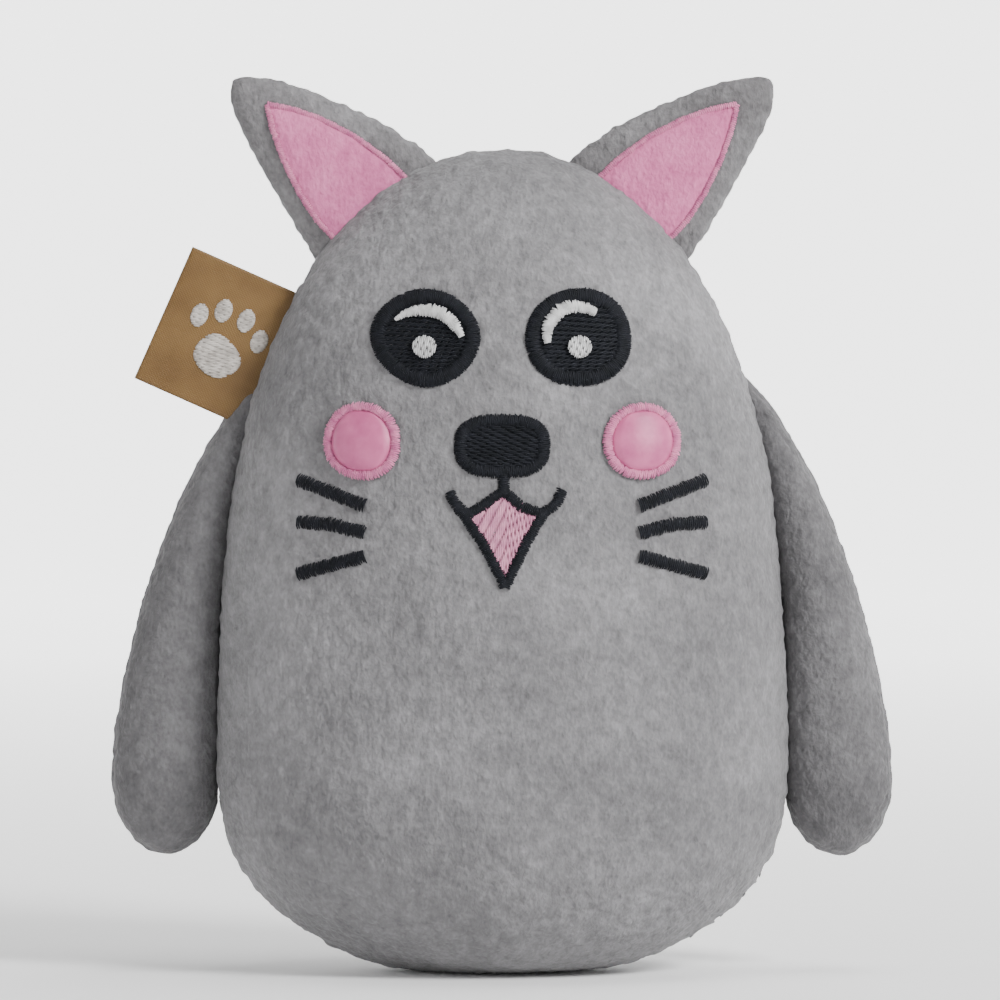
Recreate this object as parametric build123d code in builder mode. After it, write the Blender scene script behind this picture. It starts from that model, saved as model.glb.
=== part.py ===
from build123d import *
from math import atan2, ceil, cos, degrees, radians, sin, sqrt, tan
import os

os.makedirs("parts", exist_ok=True)

# A small stuffed cat that stands on its own seat. The origin is on the resting surface under
# the middle of the body, +X is the viewer's right when the face is looked at, -Y comes out of
# the face and +Z is up. All sizes are in millimetres.

# ---- Driving sizes ----------------------------------------------------------------------

# Body: an egg sewn from a front and a back panel and filled with stuffing.
body_height = 160.0
body_half_width = 55.5
body_half_depth = 30.0
belly_height = 34.0  # where the egg is widest
seat_cut = 2.8  # how far the lower curve would pass below the flat seat
crown_cut = 1.4  # how far the upper curve would pass above the flat crown
seat_trim = 0.5  # cloth below the seat that is cut away to leave it flat
panel_thickness = 3.2  # at the side seam, where the cloth is folded in; about half at the front
stuffing_clearance = 1.2

# Arms: flat stuffed pads that hang from the side seams.
arm_widest_height = 37.0
arm_bottom = 22.6
arm_width = 20.0
arm_top_width = 3.0
arm_thickness = 15.0
arm_top_thickness = 3.0
arm_body_clearance = 1.5
arm_section_spacing = 23.0  # farthest apart that two sections of an arm are drawn
arm_panel_thickness = 1.8
arm_root_radius = 1.4
arm_root_length = 4.6
arm_root_label_clearance = 1.0  # between the end of the root and the label above it
arm_root_clearance = 0.5

# Ears: two panels over a thin wadding, sewn into the top seam.
ear_root_low_drop = 23.0  # below the crown
ear_root_high_drop = 2.3
ear_height = 42.5
ear_lean = 11.4  # how far along its root, from the outer end, the tip stands
ear_outer_bulge = 2.0
ear_upper_bulge = 5.2
ear_tip_radius = 4.0
ear_panel_thickness = 1.9
ear_wadding_thickness = 1.4
ear_wadding_margin = 3.0
ear_head_clearance = 2.0

# Pink inner ear: a felt triangle with a stitched border.
inner_ear_root_margin = 5.6
inner_ear_tip_margin = 6.5
inner_ear_root_gap = 0.6
inner_ear_thickness = 0.9
inner_ear_border_width = 1.3
inner_ear_border_thickness = 1.3

# Face: satin stitch standing on the front panel. Its drops are measured down from the crown.
stitch_gap = 0.1  # between a stitched piece and what it is sewn on
stitch_height = 0.9
top_stitch_height = 0.5
eye_half_width = 10.4
eye_half_height = 9.3
eye_spacing = 14.6
eye_drop = 36.4
glint_radius = 2.2
glint_drop = 1.9
crescent_radius = 6.4
crescent_width = 2.2
crescent_half_angle = 52.0
nose_half_width = 9.2
nose_half_height = 5.7
nose_corner_radius = 4.2
nose_drop = 57.0
mouth_line_width = 2.1
mouth_peak_drop = 65.4
mouth_dip_drop = 70.0
mouth_dip_spacing = 7.0
mouth_end_drop = 66.2
mouth_end_spacing = 10.5
mouth_point_drop = 83.8
tongue_margin = 0.4
cheek_radius = 6.0
cheek_border_width = 1.5
cheek_border_gap = 0.15
cheek_height = 1.8
cheek_spacing = 26.6
cheek_drop = 56.2
whisker_width = 2.4
whisker_inner_spacing = 26.1
whisker_outer_spacing = 38.8
whisker_inner_drops = (68.4, 73.5, 78.0)
whisker_outer_drops = (63.6, 71.9, 81.6)

# Label: a ribbon folded in two and sewn into the side seam.
label_width = 28.0
label_length = 30.0
label_thickness = 0.9
label_tilt = 24.0
label_free_edge_reach = 23.8  # out from the side of the body at the same height
label_free_edge_drop = 29.4  # below the crown
label_body_clearance = 0.8
motif_thickness = 0.3
motif_middle = 10.5
motif_pad_radius = 4.0
motif_toe_radius = 1.7
motif_toe_distance = 6.6
motif_toe_spread = 34.0

# Closing stitches: a short row over the gap that the stuffing went in through.
closing_stitch_count = 7
closing_stitch_length = 3.2
closing_stitch_radius = 0.35
closing_stitch_level = 6.0  # height of the lowest stitch
closing_stitch_rise = 2.2
closing_stitch_clearance = 0.4

# ---- Shapes that several pieces share -----------------------------------------------------

through = 2 * body_half_depth  # longer than any cut through half of the body
depth_share = body_half_depth / body_half_width
seat_curve_depth = belly_height + seat_cut
crown_curve_height = body_height - belly_height + crown_cut
sides = {"left": -1, "right": 1}


def outline_half_width(height):
    """Half the width of the body at a height above the seat."""
    if height < belly_height:
        share = ((belly_height - height) / seat_curve_depth) ** 2
    else:
        share = ((height - belly_height) / crown_curve_height) ** 3
    return body_half_width * sqrt(max(0.0, 1 - share))


def outline_points():
    """Points of the body's right-hand outline, from the seat up to the crown."""
    points = [(outline_half_width(-seat_trim), -seat_trim)]
    for angle in (48, 26):
        height = belly_height - seat_curve_depth * sin(radians(angle))
        points.append((body_half_width * cos(radians(angle)), height))
    for angle in (0, 14, 28, 42, 56, 69):
        height = belly_height + crown_curve_height * sin(radians(angle)) ** (2 / 3)
        points.append((body_half_width * cos(radians(angle)), height))
    points.append((outline_half_width(body_height), body_height))
    return points


def egg_region(inset):
    """Half of the body's outline with its edge moved in by inset, or out where it is negative."""
    across = 1 - inset / body_half_width
    upright = 1 - 2 * inset / body_height
    points = [(x * across, inset + z * upright) for x, z in outline_points()]
    with BuildSketch() as region:
        with BuildLine():
            Spline(*points)
            Polyline(points[-1], (0, points[-1][1]), (0, points[0][1]), points[0])
        make_face()
    return region.sketch


def body_shape(inset):
    """The body's flattened egg, turned about the upright axis and then pressed flat."""
    with BuildPart() as egg:
        revolve(Plane.XZ * egg_region(inset), axis=Axis.Z)
        scale(by=(1, depth_share, 1))
    return egg.part


def body_layer(low, high):
    """The front half of the layer between two heights over the skin, measured out of the face."""
    with BuildPart() as layer:
        ring = egg_region(-high / depth_share) - egg_region(-low / depth_share)
        revolve(Plane.XZ * ring, axis=Axis.Z)
        scale(by=(1, depth_share, 1))
        split(bisect_by=Plane.XZ, keep=Keep.TOP)
    return layer.part


def finish(piece, name):
    """Names a finished piece and writes its file."""
    piece.label = name
    export_step(piece, f"parts/{name}.step")


def front_piece(name, sketch, layer):
    """A piece of the face: its outline carried through a layer of the body's skin."""
    with BuildPart() as piece:
        extrude(sketch, amount=through, dir=(0, -1, 0))
        add(layer, mode=Mode.INTERSECT)
    finish(piece.part, name)


# ---- Body ---------------------------------------------------------------------------------

for panel_name, panel_side in (("front_panel", Keep.TOP), ("back_panel", Keep.BOTTOM)):
    with BuildPart() as panel:
        wall = egg_region(0) - egg_region(panel_thickness)
        revolve(Plane.XZ * wall, axis=Axis.Z)
        scale(by=(1, depth_share, 1))
        split(bisect_by=Plane.XZ, keep=panel_side)
        split(bisect_by=Plane.XY, keep=Keep.TOP)
    finish(panel.part, panel_name)

finish(body_shape(panel_thickness + stuffing_clearance), "body_stuffing")

# ---- Face ---------------------------------------------------------------------------------

stitches = body_layer(stitch_gap, stitch_gap + stitch_height)
eye_level = body_height - eye_drop
cheek_level = body_height - cheek_drop
nose_level = body_height - nose_drop
mouth_peak_level = body_height - mouth_peak_drop
mouth_dip_level = body_height - mouth_dip_drop
mouth_end_level = body_height - mouth_end_drop
mouth_point_level = body_height - mouth_point_drop
top_stitch_base = 2 * stitch_gap + stitch_height
top_stitches = body_layer(top_stitch_base, top_stitch_base + top_stitch_height)
cheek_pads = body_layer(stitch_gap, stitch_gap + cheek_height)

for side, sign in sides.items():
    with BuildSketch(Plane.XZ) as eye_sketch:
        with Locations((sign * eye_spacing, eye_level)):
            Ellipse(eye_half_width, eye_half_height)
    front_piece(f"{side}_eye", eye_sketch.sketch, stitches)

    with BuildSketch(Plane.XZ) as glint_sketch:
        with Locations((sign * eye_spacing, eye_level - glint_drop)):
            Circle(glint_radius)
    front_piece(f"{side}_eye_glint", glint_sketch.sketch, top_stitches)

    with BuildSketch(Plane.XZ) as crescent_sketch:
        with BuildLine() as crescent_line:
            CenterArc(
                (sign * eye_spacing, eye_level - glint_drop),
                crescent_radius,
                90 - crescent_half_angle,
                2 * crescent_half_angle,
            )
        SlotArc(crescent_line.edge(), crescent_width)
    front_piece(f"{side}_eye_crescent", crescent_sketch.sketch, top_stitches)

    with BuildSketch(Plane.XZ) as cheek_sketch:
        with Locations((sign * cheek_spacing, cheek_level)):
            Circle(cheek_radius)
    front_piece(f"{side}_cheek", cheek_sketch.sketch, cheek_pads)

    with BuildSketch(Plane.XZ) as cheek_border_sketch:
        with Locations((sign * cheek_spacing, cheek_level)):
            Circle(cheek_radius + cheek_border_gap + cheek_border_width)
            Circle(cheek_radius + cheek_border_gap, mode=Mode.SUBTRACT)
    front_piece(f"{side}_cheek_border", cheek_border_sketch.sketch, stitches)

    with BuildSketch(Plane.XZ) as whisker_sketch:
        for inner_drop, outer_drop in zip(whisker_inner_drops, whisker_outer_drops):
            with BuildLine(mode=Mode.PRIVATE) as whisker_line:
                Line(
                    (sign * whisker_inner_spacing, body_height - inner_drop),
                    (sign * whisker_outer_spacing, body_height - outer_drop),
                )
            trace(whisker_line.line, line_width=whisker_width)
    front_piece(f"{side}_whiskers", whisker_sketch.sketch, stitches)

with BuildSketch(Plane.XZ) as nose_sketch:
    with Locations((0, nose_level)):
        RectangleRounded(2 * nose_half_width, 2 * nose_half_height, nose_corner_radius)
front_piece("nose", nose_sketch.sketch, stitches)

nose_bottom = nose_level - nose_half_height
with BuildSketch(Plane.XZ) as mouth_sketch:
    with BuildLine(mode=Mode.PRIVATE) as lip_line:
        Polyline(
            (-mouth_end_spacing, mouth_end_level),
            (-mouth_dip_spacing, mouth_dip_level),
            (0, mouth_peak_level),
            (mouth_dip_spacing, mouth_dip_level),
            (mouth_end_spacing, mouth_end_level),
        )
    with BuildLine(mode=Mode.PRIVATE) as chin_line:
        Polyline(
            (-mouth_dip_spacing, mouth_dip_level),
            (0, mouth_point_level),
            (mouth_dip_spacing, mouth_dip_level),
        )
    with BuildLine(mode=Mode.PRIVATE) as stem_line:
        Line((0, nose_bottom - stitch_gap), (0, mouth_peak_level))
    for stitched_line in (lip_line, chin_line, stem_line):
        trace(stitched_line.line, line_width=mouth_line_width)
front_piece("mouth_outline", mouth_sketch.sketch, stitches)

with BuildSketch(Plane.XZ) as tongue_sketch:
    with BuildLine():
        Polyline(
            (0, mouth_peak_level),
            (-mouth_dip_spacing, mouth_dip_level),
            (0, mouth_point_level),
            (mouth_dip_spacing, mouth_dip_level),
            close=True,
        )
    make_face()
    offset(amount=-(mouth_line_width / 2 + tongue_margin), kind=Kind.INTERSECTION)
front_piece("tongue", tongue_sketch.sketch, stitches)

# ---- Arms ---------------------------------------------------------------------------------

free_edge_height = body_height - label_free_edge_drop
free_edge_spacing = outline_half_width(free_edge_height) + label_free_edge_reach


def label_low_edge(spacing):
    """Height of the label's lower edge at a distance from the body's middle."""
    tilt = radians(label_tilt)
    corner_spacing = free_edge_spacing + label_width / 2 * sin(tilt)
    corner_height = free_edge_height - label_width / 2 * cos(tilt)
    return corner_height - (corner_spacing - spacing) * tan(tilt)


# The root is the rolled end of the arm's cloth. It fills the side seam from the arm's top up to
# the label, so the arms hang lower under a wider label.
root_offset = arm_root_radius + arm_root_clearance
root_spacing = outline_half_width(free_edge_height - label_width) + root_offset
root_high = label_low_edge(root_spacing) - arm_root_label_clearance
root_low = root_high - arm_root_length
arm_top = root_low - arm_root_clearance


def arm_profile(height):
    """Half width and half thickness of an arm at a height, as a quarter wave from its top."""
    fall = (arm_top - height) / (arm_top - arm_widest_height)
    share = sin(radians(90 * fall)) ** 0.9
    half_width = (arm_top_width + (arm_width - arm_top_width) * share) / 2
    half_thickness = (arm_top_thickness + (arm_thickness - arm_top_thickness) * share) / 2
    return half_width, half_thickness


def arm_centre(height):
    """Distance of an arm's middle from the body's middle, so that it lies beside the body."""
    return outline_half_width(height) + arm_body_clearance + arm_profile(height)[0]


def arm_shape(inset):
    """The right arm's stuffed pad with its skin moved in by inset."""
    middle_height = (arm_top + arm_bottom) / 2
    middle = arm_centre(middle_height)
    steps = ceil((arm_top - arm_widest_height) / arm_section_spacing)
    with BuildPart() as pad:
        for step in range(steps + 1):
            height = arm_top + (arm_widest_height - arm_top) * step / steps
            half_width, half_thickness = arm_profile(height)
            with BuildSketch(Plane.XY.offset(height - middle_height)):
                with Locations((arm_centre(height) - middle, 0)):
                    Ellipse(half_width, half_thickness)
        loft()
        palm = scale(
            Sphere(1, arc_size1=-90, arc_size2=0, align=Align.NONE, mode=Mode.PRIVATE),
            by=(arm_width / 2, arm_thickness / 2, arm_widest_height - arm_bottom),
            mode=Mode.PRIVATE,
        )
        palm_spacing = arm_centre(arm_widest_height) - middle
        with Locations((palm_spacing, 0, arm_widest_height - middle_height)):
            add(palm)
        scale(
            by=(
                1 - 2 * inset / arm_width,
                1 - 2 * inset / arm_thickness,
                1 - 2 * inset / (arm_top - arm_bottom),
            )
        )
    return pad.part.moved(Location((middle, 0, middle_height)))


arm_skin = arm_shape(0)
arm_hollow = arm_shape(arm_panel_thickness)
arm_filling = arm_shape(arm_panel_thickness + stuffing_clearance)

with BuildPart() as arm_root:
    low_point = (outline_half_width(root_low) + root_offset, 0, root_low + arm_root_radius)
    high_point = (outline_half_width(root_high) + root_offset, 0, root_high)
    with BuildLine() as root_path:
        Line(low_point, high_point)
    with BuildSketch(Plane(origin=low_point, z_dir=root_path.line % 0)):
        Circle(arm_root_radius)
    sweep()
    fillet(arm_root.edges().filter_by(GeomType.CIRCLE), radius=arm_root_radius * 0.9)

for side, sign in sides.items():
    for panel_name, panel_side in (("front", Keep.TOP), ("back", Keep.BOTTOM)):
        with BuildPart() as arm_panel:
            add(arm_skin)
            add(arm_hollow, mode=Mode.SUBTRACT)
            split(bisect_by=Plane.XZ, keep=panel_side)
            if sign < 0:
                mirror(about=Plane.YZ, mode=Mode.REPLACE)
        finish(arm_panel.part, f"{side}_arm_{panel_name}_panel")
    for inner_name, inner_shape in (("stuffing", arm_filling), ("root", arm_root.part)):
        with BuildPart() as arm_inner:
            add(inner_shape)
            if sign < 0:
                mirror(about=Plane.YZ, mode=Mode.REPLACE)
        finish(arm_inner.part, f"{side}_arm_{inner_name}")

# ---- Ears ---------------------------------------------------------------------------------

ear_root_low = body_height - ear_root_low_drop
ear_root_high = body_height - ear_root_high_drop
ear_outer_end = Vector(outline_half_width(ear_root_low), ear_root_low)
ear_inner_end = Vector(outline_half_width(ear_root_high), ear_root_high)
ear_root_line = ear_outer_end - ear_inner_end
ear_root_length = ear_root_line.length
ear_root_angle = degrees(atan2(ear_root_line.Y, ear_root_line.X))


def bulged_edge(start, end, bulge):
    """An arc from one corner to the next that stands out by bulge halfway."""
    along = Vector(*end) - Vector(*start)
    outwards = Vector(along.Y, -along.X).normalized() * bulge
    ThreePointArc(start, (Vector(*start) + Vector(*end)) * 0.5 + outwards, end)


def ear_outline(root_margin, tip_margin, room):
    """The right ear's rounded triangle, its corners moved in and its root cut by the head."""
    tip_place = ear_root_length - ear_lean
    inner_corner = (root_margin, 0)
    outer_corner = (ear_root_length - root_margin, 0)
    tip_corner = (tip_place, ear_height - tip_margin)
    share = 1 - 2 * root_margin / ear_root_length
    with BuildSketch() as flat_ear:
        with BuildLine():
            Line(inner_corner, outer_corner)
            bulged_edge(outer_corner, tip_corner, ear_outer_bulge * share)
            bulged_edge(tip_corner, inner_corner, ear_upper_bulge * share)
        make_face()
        tip = flat_ear.vertices().sort_by(Axis.Y)[-1]
        fillet(tip, radius=ear_tip_radius * share)
    with BuildSketch() as placed_ear:
        with Locations(Location((ear_inner_end.X, ear_inner_end.Y, 0), (0, 0, ear_root_angle))):
            add(flat_ear.sketch)
        add(egg_region(-room), mode=Mode.SUBTRACT)
    return placed_ear.sketch


def ear_piece(name, outline, front, thickness, sign):
    """A layer of an ear: its outline, how far forward its front lies, and how thick it is."""
    with BuildPart() as layer:
        extrude(Plane.XZ.offset(front) * outline, amount=-thickness)
        if sign < 0:
            mirror(about=Plane.YZ, mode=Mode.REPLACE)
    finish(layer.part, name)


half_wadding = ear_wadding_thickness / 2
panel_front = half_wadding + stitch_gap + ear_panel_thickness
inner_ear_front = panel_front + stitch_gap + inner_ear_thickness
border_front = panel_front + stitch_gap + inner_ear_border_thickness
border_room = ear_head_clearance + inner_ear_root_gap
felt_room = border_room + inner_ear_border_width
felt_root_margin = inner_ear_root_margin + inner_ear_border_width
felt_tip_margin = inner_ear_tip_margin + 3 * inner_ear_border_width
full_ear = ear_outline(0, 0, ear_head_clearance)
wadding_outline = ear_outline(ear_wadding_margin, 3 * ear_wadding_margin, ear_head_clearance)
felt_outline = ear_outline(felt_root_margin, felt_tip_margin, felt_room)

with BuildSketch() as border_ring:
    add(ear_outline(inner_ear_root_margin, inner_ear_tip_margin, border_room))
    add(
        ear_outline(
            felt_root_margin - stitch_gap,
            felt_tip_margin - 3 * stitch_gap,
            felt_room - stitch_gap,
        ),
        mode=Mode.SUBTRACT,
    )

ear_layers = (
    ("ear_wadding", wadding_outline, half_wadding, ear_wadding_thickness),
    ("ear_front_panel", full_ear, panel_front, ear_panel_thickness),
    ("ear_back_panel", full_ear, -half_wadding - stitch_gap, ear_panel_thickness),
    ("inner_ear", felt_outline, inner_ear_front, inner_ear_thickness),
    ("inner_ear_border", border_ring.sketch, border_front, inner_ear_border_thickness),
)
for side, sign in sides.items():
    for layer_name, outline, front, thickness in ear_layers:
        ear_piece(f"{side}_{layer_name}", outline, front, thickness, sign)

# ---- Label --------------------------------------------------------------------------------

label_place = Location((-free_edge_spacing, free_edge_height, 0), (0, 0, -label_tilt))

with BuildSketch() as ribbon_sketch:
    with Locations(label_place * Location((label_length / 2, 0, 0))):
        Rectangle(label_length, label_width)
    mirror(egg_region(-label_body_clearance), about=Plane.YZ, mode=Mode.SUBTRACT)

with BuildPart() as label_ribbon:
    extrude(Plane.XZ.offset(-label_thickness / 2) * ribbon_sketch.sketch, amount=label_thickness)
finish(label_ribbon.part, "label_ribbon")

# The woven motif on the label is a plain paw print: a pad and four toes.
with BuildSketch() as motif_sketch:
    with Locations(label_place * Location((motif_middle, -motif_pad_radius / 2, 0))):
        Ellipse(motif_pad_radius, motif_pad_radius * 0.8)
    for toe in range(4):
        toe_angle = radians(90 + (toe - 1.5) * motif_toe_spread)
        toe_across = motif_middle + motif_toe_distance * cos(toe_angle)
        toe_up = motif_toe_distance * sin(toe_angle) - motif_pad_radius / 2
        with Locations(label_place * Location((toe_across, toe_up, 0))):
            Ellipse(motif_toe_radius * 0.8, motif_toe_radius)

with BuildPart() as label_motif:
    motif_front = label_thickness / 2 + stitch_gap
    extrude(Plane.XZ.offset(motif_front) * motif_sketch.sketch, amount=motif_thickness)
finish(label_motif.part, "label_motif")

# ---- Closing stitches ---------------------------------------------------------------------

with BuildPart() as closing_stitches:
    for stitch in range(closing_stitch_count):
        height = closing_stitch_level + stitch * closing_stitch_rise
        spacing = outline_half_width(height) + closing_stitch_clearance + closing_stitch_radius
        with Locations(Location((spacing, 0, height), (90, 0, 0))):
            Cylinder(closing_stitch_radius, closing_stitch_length)
finish(closing_stitches.part, "closing_stitches")
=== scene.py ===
from math import cos, pi, radians, sin, sqrt

import bpy
import numpy as np
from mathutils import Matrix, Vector
from mathutils.bvhtree import BVHTree


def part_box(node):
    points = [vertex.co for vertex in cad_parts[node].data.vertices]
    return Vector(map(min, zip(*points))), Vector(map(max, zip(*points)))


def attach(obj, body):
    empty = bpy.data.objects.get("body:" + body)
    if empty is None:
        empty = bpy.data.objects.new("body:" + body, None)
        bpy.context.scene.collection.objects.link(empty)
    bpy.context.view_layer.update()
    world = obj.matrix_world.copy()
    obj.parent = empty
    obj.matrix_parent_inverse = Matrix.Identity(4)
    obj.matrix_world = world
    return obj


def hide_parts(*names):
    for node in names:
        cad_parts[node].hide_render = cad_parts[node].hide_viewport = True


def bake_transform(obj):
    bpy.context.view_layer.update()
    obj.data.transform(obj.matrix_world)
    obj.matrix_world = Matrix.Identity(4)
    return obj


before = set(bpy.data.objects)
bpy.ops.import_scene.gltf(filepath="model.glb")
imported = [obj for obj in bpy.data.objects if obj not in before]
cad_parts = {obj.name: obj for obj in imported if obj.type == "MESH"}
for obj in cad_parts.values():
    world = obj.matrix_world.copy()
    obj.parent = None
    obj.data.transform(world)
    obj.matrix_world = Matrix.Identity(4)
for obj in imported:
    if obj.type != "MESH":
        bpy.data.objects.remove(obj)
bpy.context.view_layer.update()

MM = 0.001
SIDES = {"left": -1, "right": 1}


# ---- Sizes, read from the frame -------------------------------------------------------------


def middle(node):
    """The middle of a CAD node's box."""
    low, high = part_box(node)
    return (Vector(low) + Vector(high)) / 2


def half_size(node):
    """Half the size of a CAD node's box."""
    low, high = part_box(node)
    return (Vector(high) - Vector(low)) / 2


BODY_LOW, BODY_HIGH = (Vector(corner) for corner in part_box("back_panel"))
BODY_HALF_WIDTH = (BODY_HIGH.x - BODY_LOW.x) / 2
BODY_HALF_DEPTH = BODY_HIGH.y
BODY_HEIGHT = BODY_HIGH.z
BELLY = 34 * MM  # the height of the widest place
SEAT_CURVE = 36.8 * MM
CROWN_CURVE = BODY_HEIGHT - BELLY + 1.4 * MM


def outline_half_width(height):
    """Half the width of the body's outline at a height."""
    if height < BELLY:
        share = ((BELLY - height) / SEAT_CURVE) ** 2
    else:
        share = ((height - BELLY) / CROWN_CURVE) ** 3
    return BODY_HALF_WIDTH * sqrt(max(0.0, 1 - share))


# ---- Materials ------------------------------------------------------------------------------


class Finish:
    """A node material with a few helpers for building its tree."""

    def __init__(self, name, roughness, sheen=0.0, sheen_roughness=0.5, specular=0.5):
        self.material = bpy.data.materials.new(name)
        self.material.use_nodes = True
        self.nodes = self.material.node_tree.nodes
        self.links = self.material.node_tree.links
        self.shader = self.nodes["Principled BSDF"]
        self.shader.inputs["Roughness"].default_value = roughness
        self.shader.inputs["Sheen Weight"].default_value = sheen
        self.shader.inputs["Sheen Roughness"].default_value = sheen_roughness
        self.shader.inputs["Specular IOR Level"].default_value = specular
        self.place = self.nodes.new("ShaderNodeTexCoord").outputs["Object"]
        self.height = None

    def noise(self, size, detail=2.0, stretch=None):
        """Noise whose features have a size in metres, stretched along an axis if asked."""
        source = self.place
        if stretch:
            mapping = self.nodes.new("ShaderNodeMapping")
            mapping.inputs["Scale"].default_value = stretch
            self.links.new(source, mapping.inputs["Vector"])
            source = mapping.outputs["Vector"]
        node = self.nodes.new("ShaderNodeTexNoise")
        node.inputs["Scale"].default_value = 1 / size
        node.inputs["Detail"].default_value = detail
        self.links.new(source, node.inputs["Vector"])
        return node.outputs["Fac"]

    def stripes(self, size, axis, tilt):
        """Fine stripes, a thread's width apart, turned about the Y axis."""
        mapping = self.nodes.new("ShaderNodeMapping")
        mapping.inputs["Rotation"].default_value = (0, tilt, 0)
        self.links.new(self.place, mapping.inputs["Vector"])
        node = self.nodes.new("ShaderNodeTexWave")
        node.bands_direction = axis
        node.inputs["Scale"].default_value = 1 / (size * 3.2)
        node.inputs["Distortion"].default_value = 0.6
        self.links.new(mapping.outputs["Vector"], node.inputs["Vector"])
        return node.outputs["Fac"]

    def combine(self, first, second, operation, amount=None):
        """Two values put together by a math operation."""
        node = self.nodes.new("ShaderNodeMath")
        node.operation = operation
        for socket, value in zip(node.inputs, (first, second, amount)):
            if value is None:
                continue
            if isinstance(value, (int, float)):
                socket.default_value = value
            else:
                self.links.new(value, socket)
        return node.outputs[0]

    def colours(self, value, *stops):
        """The base colour, from a value and stops of (place, red, green, blue)."""
        ramp = self.nodes.new("ShaderNodeValToRGB")
        elements = ramp.color_ramp.elements
        while len(elements) < len(stops):
            elements.new(0.5)
        for element, (place, *colour) in zip(elements, stops):
            element.position = place
            element.color = (*colour, 1)
        self.links.new(value, ramp.inputs["Fac"])
        self.links.new(ramp.outputs["Color"], self.shader.inputs["Base Color"])
        return self

    def bump(self, value, distance, strength=1.0):
        """Relief under the light, of a depth in metres, over any relief set before."""
        node = self.nodes.new("ShaderNodeBump")
        node.inputs["Distance"].default_value = distance
        node.inputs["Strength"].default_value = strength
        self.links.new(value, node.inputs["Height"])
        if self.height:
            self.links.new(self.height, node.inputs["Normal"])
        self.height = node.outputs["Normal"]
        self.links.new(self.height, self.shader.inputs["Normal"])
        return self


def plush(name, dark, mean, light):
    """Short dense pile: mottled where it lies differently, rough, with a soft rim of light."""
    finish = Finish(name, roughness=0.95, sheen=0.16, sheen_roughness=0.5, specular=0.08)
    patches = finish.noise(0.03, 2.0, (1.0, 1.0, 1.3))
    tufts = finish.noise(0.0026, 2.0, (1.0, 1.0, 0.9))
    fibres = finish.noise(0.0007, 2.0, (1.0, 1.0, 0.7))
    mottle = finish.combine(patches, 0.4, "MULTIPLY")
    mottle = finish.combine(tufts, 0.32, "MULTIPLY_ADD", mottle)
    mottle = finish.combine(fibres, 0.28, "MULTIPLY_ADD", mottle)
    finish.colours(mottle, (0.33, *dark), (0.5, *mean), (0.67, *light))
    finish.bump(tufts, 0.0006, 0.6)
    finish.bump(fibres, 0.0004, 0.9)
    return finish.material


def thread(name, dark, light, gloss, sheen=0.0):
    """Embroidery thread: twisted, slightly glossy, no two strands quite the same shade."""
    finish = Finish(name, roughness=gloss, sheen=sheen, sheen_roughness=0.35, specular=0.2)
    shade = finish.noise(0.0016, 3.0)
    twist = finish.noise(0.00022, 2.0)
    finish.colours(shade, (0.35, *dark), (0.65, *light))
    finish.bump(twist, 0.00008, 0.6)
    return finish.material


def satin(name, dark, light):
    """Smooth satin cloth, with its fine weave and a soft gloss."""
    finish = Finish(name, roughness=0.4, sheen=0.0, specular=0.4)
    shade = finish.noise(0.004, 3.0)
    weave = finish.stripes(0.00022, "Z", 0.0)
    finish.colours(shade, (0.3, *dark), (0.7, *light))
    finish.bump(finish.noise(0.0022, 2.0), 0.00018, 0.5)
    finish.bump(weave, 0.00003, 0.5)
    return finish.material


def ribbon(name, dark, mean, light, tilt):
    """Woven satin ribbon: fine warp ribs crossed by weft, its stripes lightened with painted sheen
    over a cloudy tone.
    """
    finish = Finish(name, roughness=0.45, sheen=0.0, specular=0.35)
    warp = finish.stripes(0.00045, "X", tilt)
    weft = finish.stripes(0.00033, "Z", tilt)
    cloudy = finish.noise(0.012, 3.0)
    shade = finish.combine(cloudy, 0.7, "MULTIPLY")
    # Painted sheen: the weft and warp stripes lighten the colour.
    shade = finish.combine(weft, 0.18, "MULTIPLY_ADD", shade)
    shade = finish.combine(warp, 0.12, "MULTIPLY_ADD", shade)
    finish.colours(shade, (0.3, *dark), (0.5, *mean), (0.72, *light))
    finish.bump(warp, 0.00006, 0.6)
    finish.bump(weft, 0.00005, 0.6)
    return finish.material


GREY_PLUSH = plush("grey_plush", (0.108, 0.106, 0.11), (0.168, 0.165, 0.17), (0.25, 0.246, 0.254))
# The arms' plush: the grey plush painted darker, as painted shade for arms lying behind the body.
SHADED_ARM_PLUSH = plush("shaded_arm_plush", (0.074, 0.072, 0.075), (0.114, 0.111, 0.115), (0.168, 0.165, 0.17))
# The ears' plush: the grey plush painted a little darker, as painted shade.
SHADED_EAR_PLUSH = plush("ear_plush", (0.096, 0.092, 0.095), (0.15, 0.145, 0.149), (0.218, 0.212, 0.218))
PINK_PLUSH = plush("pink_plush", (0.42, 0.1, 0.22), (0.55, 0.15, 0.3), (0.66, 0.21, 0.38))
BLACK_THREAD = thread("black_thread", (0.002, 0.003, 0.005), (0.007, 0.008, 0.012), 0.7)
WHITE_THREAD = thread("white_thread", (0.36, 0.36, 0.36), (0.58, 0.58, 0.58), 0.6)
PINK_THREAD = thread("pink_thread", (0.42, 0.11, 0.23), (0.6, 0.2, 0.34), 0.42, 0.1)
PALE_PINK_THREAD = thread("pale_pink_thread", (0.45, 0.18, 0.28), (0.6, 0.27, 0.38), 0.5, 0.1)
GREY_THREAD = thread("grey_thread", (0.09, 0.09, 0.095), (0.15, 0.15, 0.155), 0.6)
IVORY_THREAD = thread("ivory_thread", (0.36, 0.33, 0.3), (0.55, 0.51, 0.47), 0.45)
PINK_SATIN = satin("pink_satin", (0.4, 0.075, 0.19), (0.55, 0.13, 0.27))
RIBBON = ribbon("ribbon", (0.1, 0.05, 0.013), (0.145, 0.078, 0.022), (0.2, 0.115, 0.038), radians(24))


# ---- Meshes ---------------------------------------------------------------------------------


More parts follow.
